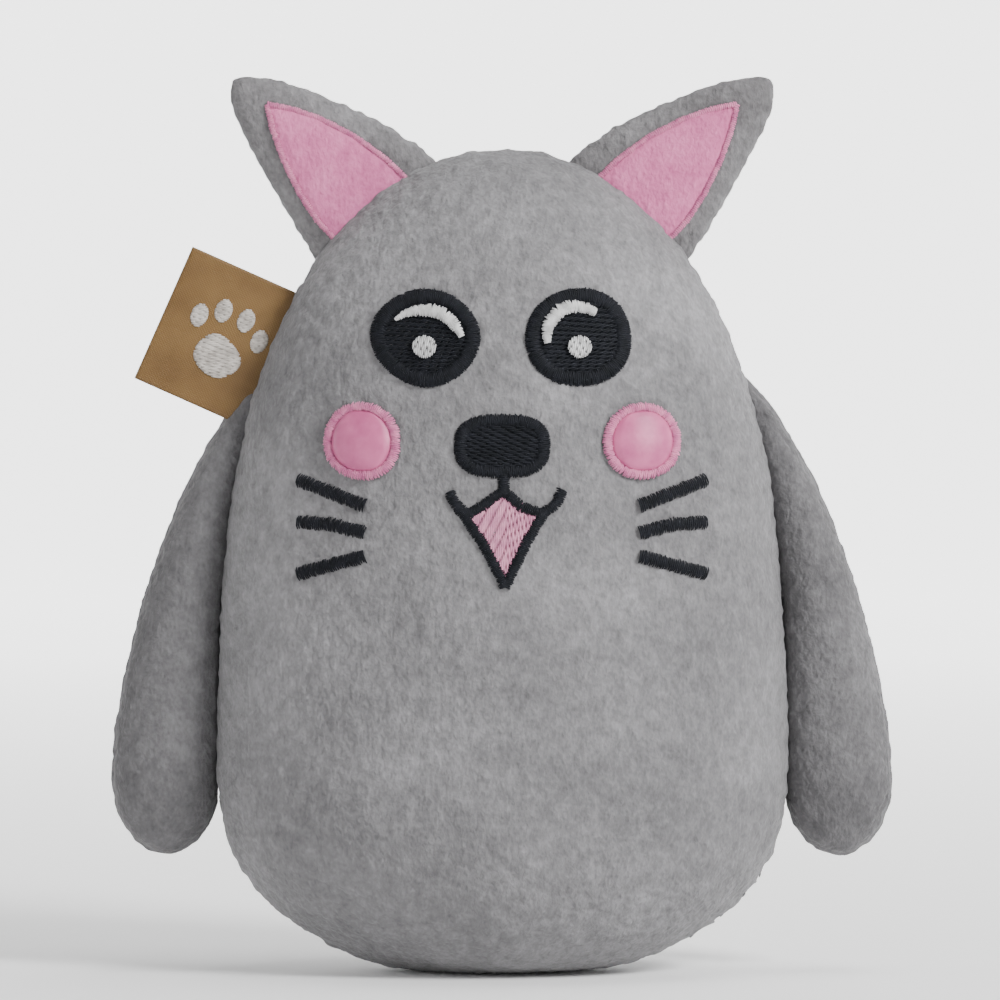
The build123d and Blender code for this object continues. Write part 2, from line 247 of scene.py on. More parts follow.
def add_mesh(name, points, faces, material=None):
    """A smooth mesh object in the scene."""
    mesh = bpy.data.meshes.new(name)
    mesh.from_pydata([tuple(point) for point in points], [], [tuple(face) for face in faces])
    mesh.update()
    mesh.polygons.foreach_set("use_smooth", [True] * len(mesh.polygons))
    if material:
        mesh.materials.append(material)
    piece = bpy.data.objects.new(name, mesh)
    bpy.context.scene.collection.objects.link(piece)
    return piece


def loft(name, rings):
    """A closed mesh through rings of equally many points, shut at both ends."""
    count = len(rings[0])
    points = [point for ring in rings for point in ring]
    faces = []
    for row in range(len(rings) - 1):
        for k in range(count):
            after = (k + 1) % count
            low, high = row * count, (row + 1) * count
            faces.append((low + k, low + after, high + after, high + k))
    faces.append(tuple(reversed(range(count))))
    faces.append(tuple(range(len(points) - count, len(points))))
    return add_mesh(name, points, faces)


def sheet_faces(rows, columns):
    """The faces of a closed sheet: a grid of points on its top, and then the same underneath."""
    width, half = columns + 1, rows * (columns + 1)
    faces = []
    for row in range(rows - 1):
        for column in range(columns):
            a = row * width + column
            b, c, d = a + 1, a + width + 1, a + width
            faces.append((a, b, c, d))
            faces.append((half + d, half + c, half + b, half + a))
    edge = list(range(width)) + [row * width + columns for row in range(1, rows)]
    edge += list(range(half - 2, half - width - 1, -1))
    edge += [row * width for row in range(rows - 2, 0, -1)]
    for a, b in zip(edge, edge[1:] + edge[:1]):
        faces.append((b, a, half + a, half + b))
    return faces


def bake(piece):
    """Puts a piece's modifiers into its mesh."""
    graph = bpy.context.evaluated_depsgraph_get()
    mesh = bpy.data.meshes.new_from_object(piece.evaluated_get(graph))
    piece.modifiers.clear()
    old, piece.data = piece.data, mesh
    bpy.data.meshes.remove(old)


def read_points(mesh):
    """A mesh's points as an array, one row each."""
    points = np.empty(len(mesh.vertices) * 3)
    mesh.vertices.foreach_get("co", points)
    return points.reshape(-1, 3)


def read_normals(mesh):
    """The normals at a mesh's points as an array, one row each."""
    normals = np.empty(len(mesh.vertices) * 3)
    mesh.vertex_normals.foreach_get("vector", normals)
    return normals.reshape(-1, 3)


def write_points(mesh, points):
    """Moves a mesh's points to the rows of an array."""
    mesh.vertices.foreach_set("co", points.ravel())
    mesh.update()


def skin_of(piece):
    """A tree of a piece's surface as it is now, which finds the nearest place and casts rays."""
    points = [tuple(point) for point in read_points(piece.data)]
    return BVHTree.FromPolygons(points, [tuple(face.vertices) for face in piece.data.polygons])


def cover(piece, material):
    """Gives a piece one material in place of any it has."""
    piece.data.materials.clear()
    piece.data.materials.append(material)


def stuff(piece, voxel, cap, pressure=4.0, frames=20):
    """Fills a closed cloth piece: remeshes it and lets pressure round it, by no more than cap."""
    remesh = piece.modifiers.new("remesh", "REMESH")
    remesh.mode = "VOXEL"
    remesh.voxel_size = voxel
    bake(piece)
    before = read_points(piece.data)
    cloth = piece.modifiers.new("cloth", "CLOTH")
    cloth.settings.use_pressure = True
    cloth.settings.uniform_pressure_force = pressure
    cloth.settings.effector_weights.gravity = 0
    scene = bpy.context.scene
    for step in range(1, frames + 1):
        scene.frame_set(step)
    bake(piece)
    scene.frame_set(1)
    move = read_points(piece.data) - before
    length = np.linalg.norm(move, axis=1, keepdims=True)
    move *= np.minimum(1.0, cap / np.maximum(length, 1e-9))
    write_points(piece.data, before + move)
    smooth = piece.modifiers.new("smooth", "SMOOTH")
    smooth.iterations = 3
    bake(piece)


def refine(piece, levels):
    """Subdivides a piece into a smooth, fine mesh."""
    subdivision = piece.modifiers.new("subdivision", "SUBSURF")
    subdivision.levels = levels
    subdivision.render_levels = levels
    bake(piece)


def value_noise(points, size, seed):
    """Smooth noise from -0.5 to 0.5 whose features have a size in metres."""
    cells = 32
    grid = np.random.default_rng(seed).random((cells, cells, cells))
    place = points / size
    cell = np.floor(place).astype(int)
    part = place - cell
    part = part * part * (3 - 2 * part)
    total = np.zeros(len(points))
    for corner in range(8):
        step = np.array([corner & 1, corner >> 1 & 1, corner >> 2 & 1])
        at = (cell + step) % cells
        weight = np.prod(np.where(step, part, 1 - part), axis=1)
        total += weight * grid[at[:, 0], at[:, 1], at[:, 2]]
    return total - 0.5


def pile(piece, seed, depth=1.0):
    """Raises the tufts of the pile over a piece's surface."""
    points, normals = read_points(piece.data), read_normals(piece.data)
    raised = 0.5 * MM * value_noise(points, 14 * MM, seed)
    raised += 0.3 * MM * value_noise(points, 2.4 * MM, seed + 1)
    raised += 0.45 * MM * value_noise(points, 1.1 * MM, seed + 2)
    write_points(piece.data, points + normals * (raised * depth)[:, None])


def groove(piece, depth, width, stitch):
    """Sinks the seam that runs round a piece where y is 0, and puckers the cloth beside it."""
    points, normals = read_points(piece.data), read_normals(piece.data)
    off = np.abs(points[:, 1])
    across, up = points[:, 0] - points[:, 0].mean(), points[:, 2] - points[:, 2].mean()
    around, reach = np.arctan2(up, across), np.hypot(across, up)
    wave = np.cos(around * reach.mean() * 2 * pi / stitch)
    sunk = -depth * np.exp(-((off / width) ** 2))
    sunk += 0.22 * depth * wave * np.exp(-(((off - 2 * width) / (1.6 * width)) ** 2))
    write_points(piece.data, points + normals * sunk[:, None])


# ---- Stitching ------------------------------------------------------------------------------


THREAD_WIDTH = 0.42 * MM


class Stitching:
    """Gathers strands of thread into one mesh."""

    def __init__(self, place, seed):
        self.place = place
        self.points = []
        self.faces = []
        self.random = np.random.default_rng(seed)

    def strand(self, start, end, width, lift, crown):
        """A strand from one place to another, lifted off the cloth and dipping at its ends."""
        start, end = Vector(start), Vector(end)
        length = (end - start).length
        steps = max(4, int(length / (0.9 * MM)))
        sides = 6
        line, ups = [], []
        for step in range(steps + 1):
            share = step / steps
            point, normal = self.place(*start.lerp(end, share))
            arch = 1 - (2 * share - 1) ** 4
            line.append(point + normal * (lift + crown * arch))
            ups.append(normal)
        first = len(self.points)
        for step, (point, up) in enumerate(zip(line, ups)):
            along = line[min(step + 1, steps)] - line[max(step - 1, 0)]
            across = along.cross(up).normalized()
            radius = width / 2 * (0.55 if step in (0, steps) else 1.0)
            for k in range(sides):
                turn = 2 * pi * k / sides
                offset = across * (radius * cos(turn)) + up * (radius * 0.8 * sin(turn))
                self.points.append(point + offset)
        for step in range(steps):
            for k in range(sides):
                low, high = first + step * sides, first + (step + 1) * sides
                after = (k + 1) % sides
                self.faces.append((low + k, high + k, high + after, low + after))
        self.faces.append(tuple(first + k for k in range(sides)))
        last = first + steps * sides
        self.faces.append(tuple(last + k for k in reversed(range(sides))))

    def column(self, path, widths, pitch=0.36 * MM, lift=0.25 * MM, crown=0.55 * MM):
        """Satin stitch across a path, with its width given at the path's points."""
        path = [Vector(point) for point in path]
        lengths = [(b - a).length for a, b in zip(path, path[1:])]
        total = sum(lengths)
        count = max(3, int(total / pitch))
        for number in range(count + 1):
            distance = total * number / count
            leg = 0
            while leg < len(lengths) - 1 and distance > lengths[leg]:
                distance -= lengths[leg]
                leg += 1
            share = distance / lengths[leg]
            spot = path[leg].lerp(path[leg + 1], share)
            width = widths[leg] * (1 - share) + widths[leg + 1] * share
            along = (path[leg + 1] - path[leg]).normalized()
            across = Vector((-along.y, along.x)) * (width / 2)
            slip = along * (0.12 * MM * self.random.uniform(-1, 1))
            first = spot - across * (1 + 0.13 * self.random.uniform(-1, 1)) + slip
            second = spot + across * (1 + 0.13 * self.random.uniform(-1, 1)) - slip
            self.strand(first, second, THREAD_WIDTH, lift, crown)

    def fill(self, outline, angle, pitch=0.34 * MM, lift=0.25 * MM, crown=0.25 * MM):
        """Rows of staggered stitches that cover an outline."""
        turned = [turn_point(point, -angle) for point in outline]
        for number, (level, low, high) in enumerate(rows_across(turned, pitch)):
            stitch = 3.6 * MM
            spot = low - stitch * ((number * 0.37) % 1.0)
            while spot < high:
                first, second = max(spot, low), min(spot + stitch, high)
                if second - first > 0.5 * MM:
                    ends = [turn_point((u, level), angle) for u in (first, second)]
                    self.strand(*ends, THREAD_WIDTH, lift, crown)
                spot += stitch

    def finish(self, name, material):
        """The gathered strands as one piece."""
        return add_mesh(name, self.points, self.faces, material)


def turn_point(point, angle):
    """A flat point turned about the origin."""
    across, up = point
    return (across * cos(angle) - up * sin(angle), across * sin(angle) + up * cos(angle))


def rows_across(outline, pitch):
    """Level rows over an outline: each row's height and its two ends."""
    heights = [point[1] for point in outline]
    count = max(4, int((max(heights) - min(heights)) / pitch))
    rows = []
    for number in range(count):
        level = min(heights) + (max(heights) - min(heights)) * (number + 0.5) / count
        crossings = []
        for (x0, y0), (x1, y1) in zip(outline, outline[1:] + outline[:1]):
            if (y0 <= level) != (y1 <= level):
                crossings.append(x0 + (x1 - x0) * (level - y0) / (y1 - y0))
        if len(crossings) >= 2:
            rows.append((level, min(crossings), max(crossings)))
    return rows


def raised_patch(name, outline, place, height, material, pitch=0.6 * MM, crown=0.0, columns=40):
    """A closed patch over an outline, standing off the cloth and domed by crown."""
    rows = rows_across(outline, pitch)
    tops, bottoms = [], []
    for number, (level, low, high) in enumerate(rows):
        upright = 2 * (number + 0.5) / len(rows) - 1
        for column in range(columns + 1):
            across = 2 * column / columns - 1
            share = (across + 1) / 2
            point, normal = place(low + (high - low) * share, level)
            dome = sqrt(max(0.0, (1 - across**2) * (1 - upright**2)))
            rim = min(1.0, 4 * (1 - abs(across)), 4 * (1 - abs(upright)) + 0.3)
            tops.append(point + normal * (height * (0.35 + 0.65 * rim) + crown * dome))
            bottoms.append(point - normal * 0.5 * MM)
    return add_mesh(name, tops + bottoms, sheet_faces(len(rows), columns), material)


def ellipse(centre, half_width, half_height, steps=48, wobble=0.0, seed=0):
    """An ellipse's outline, made a little uneven by wobble."""
    random = np.random.default_rng(seed)
    phases = random.uniform(0, 2 * pi, 3)
    points = []
    for step in range(steps):
        turn = 2 * pi * step / steps
        uneven = sum(sin((order + 2) * turn + phase) for order, phase in enumerate(phases))
        reach = 1 + wobble * uneven
        across = centre[0] + half_width * reach * cos(turn)
        up = centre[1] + half_height * reach * sin(turn)
        points.append((across, up))
    return points


# ---- Body -----------------------------------------------------------------------------------


def body_ring(height, inset, count=64):
    """A level ring of the body's skin."""
    width = outline_half_width(height) - inset
    depth = width * BODY_HALF_DEPTH / BODY_HALF_WIDTH
    ring = []
    for k in range(count):
        turn = 2 * pi * k / count
        fullness = 1 + 0.05 * sin(turn) ** 2
        ring.append((width * cos(turn), depth * fullness * sin(turn), height))
    return ring


def raise_to(piece, floor):
    """Lifts the points of a piece that are below a height, so that it doesn't cross the floor."""
    points = read_points(piece.data)
    points[:, 2] = np.maximum(points[:, 2], floor)
    write_points(piece.data, points)


def make_body():
    """The stuffed body, as a front and a back that meet at the side seam. Gives its smooth skin."""
    inset = 0.6 * MM
    levels = [BELLY - SEAT_CURVE * sin(radians(angle)) for angle in (66, 58, 48, 36, 24, 12)]
    levels += [BELLY + CROWN_CURVE * sin(radians(angle)) ** (2 / 3) for angle in range(0, 81, 5)]
    rings = [body_ring(level, inset) for level in levels]
    body = loft("body_form", rings)
    stuff(body, voxel=4 * MM, cap=1.2 * MM)
    refine(body, 2)
    groove(body, depth=0.6 * MM, width=1.2 * MM, stitch=4.2 * MM)
    raise_to(body, 0.25 * MM)
    smooth_skin = skin_of(body)
    refine(body, 1)
    pile(body, seed=11)
    raise_to(body, 0.1 * MM)
    points = read_points(body.data)
    faces = [tuple(face.vertices) for face in body.data.polygons]
    middles = np.array([np.mean(points[list(face), 1]) for face in faces])
    halves = {}
    for name, chosen in (("front_body", middles < 0), ("back_body", middles >= 0)):
        kept = [face for face, keep in zip(faces, chosen) if keep]
        used = sorted({index for face in kept for index in face})
        renumbered = {old: new for new, old in enumerate(used)}
        shell = [tuple(renumbered[index] for index in face) for face in kept]
        halves[name] = add_mesh(name, points[used], shell, GREY_PLUSH)
        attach(halves[name], "body")
    bpy.data.objects.remove(body)
    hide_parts("front_panel", "body_stuffing")
    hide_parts("back_panel")
    return smooth_skin


def caster(skin):
    """A function that finds the point and normal on the front of a skin at a flat place."""
    start, backwards = -0.3, Vector((0, 1, 0))

    def place(across, up):
        point, normal, _, _ = skin.ray_cast(Vector((across, start, up)), backwards)
        if point is None:
            point, normal, _, _ = skin.find_nearest(Vector((across, 0, up)))
        return point, normal

    return place


# ---- Face -----------------------------------------------------------------------------------


def ride_as(piece, body, slot, *nodes):
    """Puts a finished piece on its body, in place of its CAD nodes; its slot is not used."""
    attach(piece, body)
    if nodes:
        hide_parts(*nodes)


def bordered_fill(place, seed, outline, border, angle):
    """A filled shape with a satin border round it."""
    stitching = Stitching(place, seed)
    stitching.fill(outline, angle)
    centre = np.mean(outline, axis=0)
    shrink = 1 - border / (2 * np.linalg.norm(np.array(outline) - centre, axis=1).mean())
    path = [tuple(centre + (np.array(point) - centre) * shrink) for point in outline]
    path.append(path[0])
    stitching.column(path, [border] * len(path), lift=0.35 * MM, crown=0.5 * MM)
    return stitching


# The white highlights' middle lines from an eye's centre, and their widths, in millimetres.
CRESCENTS = {
    "left": (
        (-5.4, 3.3, 0.7),
        (-3.6, 4.4, 1.5),
        (-1.2, 5.0, 2.1),
        (1.4, 5.0, 2.4),
        (3.8, 4.1, 2.5),
        (5.7, 2.3, 2.2),
        (7.0, 0.1, 1.2),
    ),
    "right": (
        (-6.1, -1.1, 1.3),
        (-6.2, 0.9, 2.1),
        (-5.5, 3.0, 2.5),
        (-4.0, 4.8, 2.6),
        (-1.6, 5.8, 2.4),
        (0.9, 5.6, 2.1),
        (2.9, 4.6, 1.6),
    ),
}


def make_eyes(place):
    """Each eye with its round white glint and its white crescent."""
    glint_radius = 2.2 * MM
    for side, sign in SIDES.items():
        spot = middle(f"{side}_eye")
        half = half_size(f"{side}_eye")
        seed = 20 + sign
        outline = ellipse((spot.x, spot.z), half.x, half.z, 56, 0.012, seed)
        stitching = bordered_fill(place, seed, outline, 3.0 * MM, radians(12))
        eye = stitching.finish(f"{side}_eye_stitching", BLACK_THREAD)
        ride_as(eye, "body", "black_thread", f"{side}_eye")
        spot = middle(f"{side}_eye_glint")
        glint = Stitching(place, 30 + sign)
        round_glint = ellipse((spot.x, spot.z), glint_radius, glint_radius, 24)
        glint.fill(round_glint, radians(80), lift=1.05 * MM, crown=0.35 * MM)
        piece = glint.finish(f"{side}_eye_glint_stitching", WHITE_THREAD)
        ride_as(piece, "body", "white_thread", f"{side}_eye_glint")
        crescent = Stitching(place, 40 + sign)
        spot = middle(f"{side}_eye")
        path = [(spot.x + across * MM, spot.z + up * MM) for across, up, _ in CRESCENTS[side]]
        widths = [width * MM for _, _, width in CRESCENTS[side]]
        crescent.column(path, widths, pitch=0.3 * MM, lift=1.0 * MM, crown=0.45 * MM)
        piece = crescent.finish(f"{side}_eye_crescent_stitching", WHITE_THREAD)
        ride_as(piece, "body", "white_thread", f"{side}_eye_crescent")


def make_nose(place):
    """The nose: a rounded shape, squarer than an ellipse."""
    spot, half = middle("nose"), half_size("nose")
    outline = []
    steps = 56
    for step in range(steps):
        turn = 2 * pi * step / steps
        across = np.sign(cos(turn)) * abs(cos(turn)) ** 0.62
        upright = np.sign(sin(turn)) * abs(sin(turn)) ** 0.75
        outline.append((spot.x + half.x * across, spot.z + half.z * upright))
    stitching = bordered_fill(place, 50, outline, 2.4 * MM, radians(-8))
    ride_as(stitching.finish("nose_stitching", BLACK_THREAD), "body", "black_thread", "nose")


def under_crown(across, drop):
    """A flat place on the face, in millimetres from the middle and down from the crown."""
    return (across * MM, BODY_HEIGHT - drop * MM)


def make_mouth(place):
    """The lips, the open mouth's two sides and the stem up to the nose, and the tongue."""
    nose_low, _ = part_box("nose")
    peak = under_crown(0.3, 65.6)
    stem_top, stem_foot = (peak[0], nose_low[2] + 0.6 * MM), (peak[0], peak[1] - 0.4 * MM)
    dip_left, dip_right = under_crown(-6.4, 70.0), under_crown(7.4, 69.9)
    chin = under_crown(0.6, 83.6)
    legs = (
        (under_crown(-9.9, 65.8), under_crown(-8.8, 68.2), dip_left),
        (dip_left, under_crown(-3.4, 68.2), peak),
        (peak, under_crown(3.6, 68.6), dip_right),
        (dip_right, under_crown(10.2, 68.2), under_crown(11.3, 65.4)),
        (under_crown(-8.6, 68.2), under_crown(-3.6, 75.4), chin),
        (under_crown(8.0, 69.4), under_crown(4.4, 75.6), chin),
        (stem_top, stem_foot),
    )
    line_width = 2.15 * MM
    stitching = Stitching(place, 60)
    for leg in legs:
        stitching.column(leg, [line_width] * len(leg))
    piece = stitching.finish("mouth_stitching", BLACK_THREAD)
    ride_as(piece, "body", "black_thread", "mouth_outline")
    tongue = Stitching(place, 61)
    tongue.fill([peak, dip_left, chin, dip_right], radians(90), lift=0.1 * MM)
    piece = tongue.finish("tongue_stitching", PALE_PINK_THREAD)
    ride_as(piece, "body", "pink_satin", "tongue")


def make_cheeks(place):
    """Each cheek's padded satin disc, with a satin-stitch border."""
    border_width, steps = 2.0 * MM, 64
    for side, sign in SIDES.items():
        spot = middle(f"{side}_cheek")
        radius = half_size(f"{side}_cheek").x
        outline = ellipse((spot.x, spot.z), radius, radius, steps, 0.008, 70 + sign)
        pad = raised_patch(
            f"{side}_cheek_pad", outline, place, 0.5 * MM, PINK_SATIN, 0.4 * MM, 1.9 * MM
        )
        ride_as(pad, "body", "pink_satin", f"{side}_cheek")
        reach = radius + 0.5 * MM
        ring = ellipse((spot.x, spot.z), reach, reach, steps, 0.01, 70 + sign)
        ring.append(ring[0])
        stitching = Stitching(place, 80 + sign)
        stitching.column(ring, [border_width] * len(ring), lift=0.5 * MM, crown=0.6 * MM)
        piece = stitching.finish(f"{side}_cheek_border_stitching", PINK_THREAD)
        ride_as(piece, "body", "pink_thread", f"{side}_cheek_border")


def make_whiskers(place):
    """Three satin-stitch bars on each side, which spread outwards."""
    bar_width = 2.6 * MM
    for side, sign in SIDES.items():
        low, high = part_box(f"{side}_whiskers")
        inner, outer = sorted((low[0], high[0]), key=abs)
        inner, outer = inner + sign * 0.5 * MM, outer - sign * 0.3 * MM
        top, bottom = high[2] - 1.2 * MM, low[2] + 1.2 * MM
        level = (top + bottom) / 2
        bend = ((inner + outer) / 2, level + 0.6 * MM)
        bars = (
            ((inner, level + 4.2 * MM), (outer, top)),
            ((inner, level - 1.0 * MM), bend, (outer, level + 0.9 * MM)),
            ((inner, level - 5.4 * MM), (outer, bottom)),
        )
        stitching = Stitching(place, 90 + sign)
        for bar in bars:
            stitching.column(bar, [bar_width] * len(bar))
        piece = stitching.finish(f"{side}_whisker_stitching", BLACK_THREAD)
        ride_as(piece, "body", "black_thread", f"{side}_whiskers")


# ---- Ears -----------------------------------------------------------------------------------

# The right ear's two edges, from the head to its tip, in millimetres out from the middle of the
# body and up from the seat.
EAR_UPPER_EDGE = (
    (12.8, 159.0),
    (17.6, 163.0),
    (22.9, 166.2),
    (30.4, 169.7),
    (36.5, 172.2),
    (42.0, 174.0),
    (47.0, 175.1),
    (50.6, 175.5),
    (52.6, 174.9),
)
EAR_OUTER_EDGE = (
    (36.4, 137.4),
    (40.0, 142.6),
    (43.4, 147.8),
    (47.0, 154.3),
    (49.5, 159.2),
    (51.6, 163.6),
    (53.2, 168.0),
    (54.0, 171.4),
    (53.9, 173.4),
)
EAR_SINK = 3.0 * MM
EAR_HALF_THICK = 3.4 * MM
# The outline of the pink appliqué on the right ear, in millimetres out from the middle of the body and
# up from the seat.
INNER_EAR = (
    (18.4, 154.2),
    (22.8, 158.4),
    (28.6, 162.6),
    (35.0, 165.9),
    (41.0, 168.0),
    (45.6, 168.9),
    (44.6, 164.4),
    (42.4, 158.2),
    (39.2, 151.6),
    (35.8, 146.4),
    (31.6, 142.0),
)


def along_edge(edge, share):
    """A point at a share of the way along an edge."""
    place = share * (len(edge) - 1)
    leg = min(int(place), len(edge) - 2)
    return Vector(edge[leg]).lerp(Vector(edge[leg + 1]), place - leg) * MM


def make_ears():
    """Each ear, lofted from the head to its tip, and the appliqué on it."""
    rows, sides = 32, 28
    for side, sign in SIDES.items():
        rings = []
        for row in range(-1, rows + 1):
            share = max(row, 0) / rows
            upper, outer = along_edge(EAR_UPPER_EDGE, share), along_edge(EAR_OUTER_EDGE, share)
            if row < 0:
                inwards = Vector((-1, -1)).normalized() * EAR_SINK
                upper, outer = upper + inwards, outer + inwards
            centre, half = (upper + outer) / 2, (outer - upper) / 2
            thick = EAR_HALF_THICK * sqrt(max(0.08, 1 - share**2.2))
            ring = []
            for k in range(sides):
                turn = 2 * pi * k / sides
                spot = centre + half * cos(turn)
                ring.append((sign * spot.x, thick * sin(turn), spot.y))
            rings.append(ring if sign > 0 else ring[::-1])
        ear = loft(f"{side}_ear_plush", rings)
        stuff(ear, voxel=1.5 * MM, cap=0.5 * MM)
        refine(ear, 1)
        groove(ear, depth=0.3 * MM, width=0.7 * MM, stitch=3.4 * MM)
        skin = skin_of(ear)
        refine(ear, 1)
        pile(ear, seed=100 + sign, depth=0.7)
        # The ear's plush is painted a little darker, as painted shade.
        cover(ear, SHADED_EAR_PLUSH)
        nodes = [f"{side}_ear_{layer}" for layer in ("front_panel", "back_panel", "wadding")]
        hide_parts(*nodes)
        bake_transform(ear)
        make_inner_ear(side, sign, caster(skin))


def make_inner_ear(side, sign, place):
    """The pink appliqué on the front of an ear, and the stitching round it."""
    outline = [(sign * across * MM, up * MM) for across, up in INNER_EAR]
    felt = raised_patch(
        f"{side}_inner_ear_plush", outline, place, 0.5 * MM, PINK_PLUSH, 0.5 * MM, 0.2 * MM, 60
    )
    pile(felt, seed=120 + sign, depth=0.4)
    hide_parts(f"{side}_inner_ear")
    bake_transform(felt)
    stitching = Stitching(place, 130 + sign)
    closed = outline + outline[:1]
    widths = [1.2 * MM] * len(closed)
    stitching.column(closed, widths, pitch=0.4 * MM, lift=0.35 * MM, crown=0.35 * MM)
    piece = stitching.finish(f"{side}_inner_ear_stitching", PINK_THREAD)
    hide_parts(f"{side}_inner_ear_border")
    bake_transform(piece)


# ---- Arms -----------------------------------------------------------------------------------


# An arm from its top to its palm, in millimetres: height, how far its outer edge stands from the
# middle of the body, how far its inner edge stands from the body's side, and half thickness.
ARM_ROWS = (
    (118.0, 46.4, -5.0, 1.8),
    (115.5, 48.6, -4.8, 2.6),
    (112.0, 51.6, -4.4, 3.6),
    (107.5, 54.9, -4.0, 4.6),
    (102.0, 58.1, -3.4, 5.6),
    (95.9, 61.4, -2.9, 6.4),
    (88.0, 64.8, -2.5, 7.1),
    (80.3, 67.7, -2.2, 7.6),
    (72.0, 70.4, -2.0, 7.9),
    (64.7, 72.4, -1.9, 8.1),
    (57.0, 74.2, -1.8, 8.3),
    (49.1, 75.6, -1.8, 8.3),
    (43.0, 76.4, -1.8, 8.2),
    (37.0, 76.7, -1.7, 7.9),
    (32.5, 76.2, -1.4, 7.2),
    (29.0, 75.0, -0.2, 6.3),
    (26.0, 73.1, 2.0, 5.1),
    (23.6, 70.4, 4.6, 3.7),
    (22.2, 67.6, 7.8, 2.0),
)
# Below this height, in millimetres, the inner edge no longer follows the body's side.
ARM_PALM = 30.0
# How far the arm's middle stands behind the side seam.
ARM_BACK = 1.6 * MM


def make_arms():
    """Each arm, lofted from the shoulder to its palm."""
    sides = 32
    for side, sign in SIDES.items():
        rings = []
        for height, outer, gap, thick in ARM_ROWS:
            inner = outline_half_width(max(height, ARM_PALM) * MM) + gap * MM
            centre, width = (outer * MM + inner) / 2, (outer * MM - inner) / 2
            ring = []
            for k in range(sides):
                turn = 2 * pi * k / sides
                spot = (sign * (centre + width * cos(turn)), thick * MM * sin(turn) + ARM_BACK)
                ring.append((*spot, height * MM))
            rings.append(ring[::-1] if sign > 0 else ring)
        arm = loft(f"{side}_shaded_arm_plush", rings)
        stuff(arm, voxel=1.8 * MM, cap=0.5 * MM)
        refine(arm, 1)
        groove(arm, depth=0.35 * MM, width=1.0 * MM, stitch=3.8 * MM)
        refine(arm, 1)
        pile(arm, seed=140 + sign, depth=0.8)
        # The arm's plush is painted darker, as painted shade.
        cover(arm, SHADED_ARM_PLUSH)
        nodes = [f"{side}_arm_{part}" for part in ("front_panel", "back_panel", "stuffing", "root")]
        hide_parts(*nodes)
        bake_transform(arm)


# ---- Label ----------------------------------------------------------------------------------

LABEL_TILT = radians(24)
LABEL_WIDTH = 28 * MM
LABEL_REACH = 27 * MM
LABEL_BOW = 0.5 * MM
LABEL_RISE = 2.4 * MM
RIBBON_THICK = 0.42 * MM
# The paw print, in from the label's free edge: its pad, and its toes on an arc over it.
PAW_INSET = 12.5 * MM
PAD_DROP = 3.6 * MM
PAD_HALF_SIZE = (4.8 * MM, 3.9 * MM)
TOE_HALF_SIZE = (1.7 * MM, 2.3 * MM)
TOE_ARC_DROP = 2.8 * MM
TOE_REACH = 8.2 * MM
TOE_SPREAD = 34  # degrees from toe to toe


def label_place(across, up, out=0.0):
    """A point of the label: how far in from its free edge, up its width and out in front."""
    low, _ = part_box("label_ribbon")
    free_middle = Vector((low[0] + LABEL_WIDTH / 2 * sin(LABEL_TILT), 0, 0))
    free_middle.z = middle("label_ribbon").z + LABEL_RISE
    inwards = Vector((cos(LABEL_TILT), 0, -sin(LABEL_TILT)))
    upwards = Vector((sin(LABEL_TILT), 0, cos(LABEL_TILT)))
    bow = LABEL_BOW * sin(pi * across / LABEL_REACH) * cos(2.2 * up / LABEL_WIDTH)
    return free_middle + inwards * across + upwards * up + Vector((0, -bow - out, 0))


def make_label():
    """The ribbon, folded in two at its free edge, with a paw print woven into its front."""
    fold = 0.32 * MM
    steps, turns, columns = 40, 6, 44
    stations = [(LABEL_REACH * (1 - step / steps), -fold) for step in range(steps)]
    for step in range(turns + 1):
        turn = pi * step / turns
        stations.append((-fold * sin(turn), -fold * cos(turn)))
    stations += [(LABEL_REACH * (step + 1) / steps, fold) for step in range(steps)]
    rows = []
    for number, (across, out) in enumerate(stations):
        before = stations[max(number - 1, 0)]
        after = stations[min(number + 1, len(stations) - 1)]
        along = Vector((after[0] - before[0], after[1] - before[1])).normalized()
        normal = Vector((-along.y, along.x)) * (RIBBON_THICK / 2)
        rows.append(((across + normal.x, out + normal.y), (across - normal.x, out - normal.y)))
    points = []
    for layer in range(2):
        for row in rows:
            across, out = row[layer]
            for column in range(columns + 1):
                up = LABEL_WIDTH * (column / columns - 0.5)
                points.append(label_place(across, up, -out))
    faces = sheet_faces(len(rows), columns)
    label = add_mesh("label_ribbon_cloth", points, faces, RIBBON)
    ride_as(label, "label", "label_ribbon", "label_ribbon")

    def on_label(across, up):
        return label_place(across, up, fold + RIBBON_THICK / 2), Vector((0, -1, 0))

    motif = Stitching(on_label, 150)
    outlines = [ellipse((PAW_INSET, -PAD_DROP), *PAD_HALF_SIZE, 32, 0.03)]
    for toe in range(4):
        turn = radians(90 + (toe - 1.5) * TOE_SPREAD)
        spot = (PAW_INSET + TOE_REACH * cos(turn), TOE_REACH * sin(turn) - TOE_ARC_DROP)
        outlines.append(ellipse(spot, *TOE_HALF_SIZE, 20))
    for outline in outlines:
        motif.fill(outline, angle=0.3, pitch=0.3 * MM, lift=0.02 * MM, crown=0.12 * MM)
    piece = motif.finish("label_motif_weave", IVORY_THREAD)
    ride_as(piece, "label", "label_thread", "label_motif")


# ---- Closing stitches -----------------------------------------------------------------------


def make_closing_stitches(skin):
    """A short row of hand stitches across the seam, low on the viewer's right."""

    def place(along, up):
        side = outline_half_width(up)
        point, normal, _, _ = skin.find_nearest(Vector((side, along, up)))
        return point, normal

    low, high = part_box("closing_stitches")
    stitching = Stitching(place, 160)
    count, reach = 7, 1.9 * MM
    for number in range(count):
        up = low[2] + (high[2] - low[2]) * (number + 0.5) / count
        lean = 0.5 * MM * (-1) ** number
        start, end = (-reach, up - lean), (reach, up + lean)
        stitching.strand(start, end, width=0.55 * MM, lift=0.25 * MM, crown=0.1 * MM)
    piece = stitching.finish("closing_stitch_thread", GREY_THREAD)
    ride_as(piece, "body", "grey_thread", "closing_stitches")


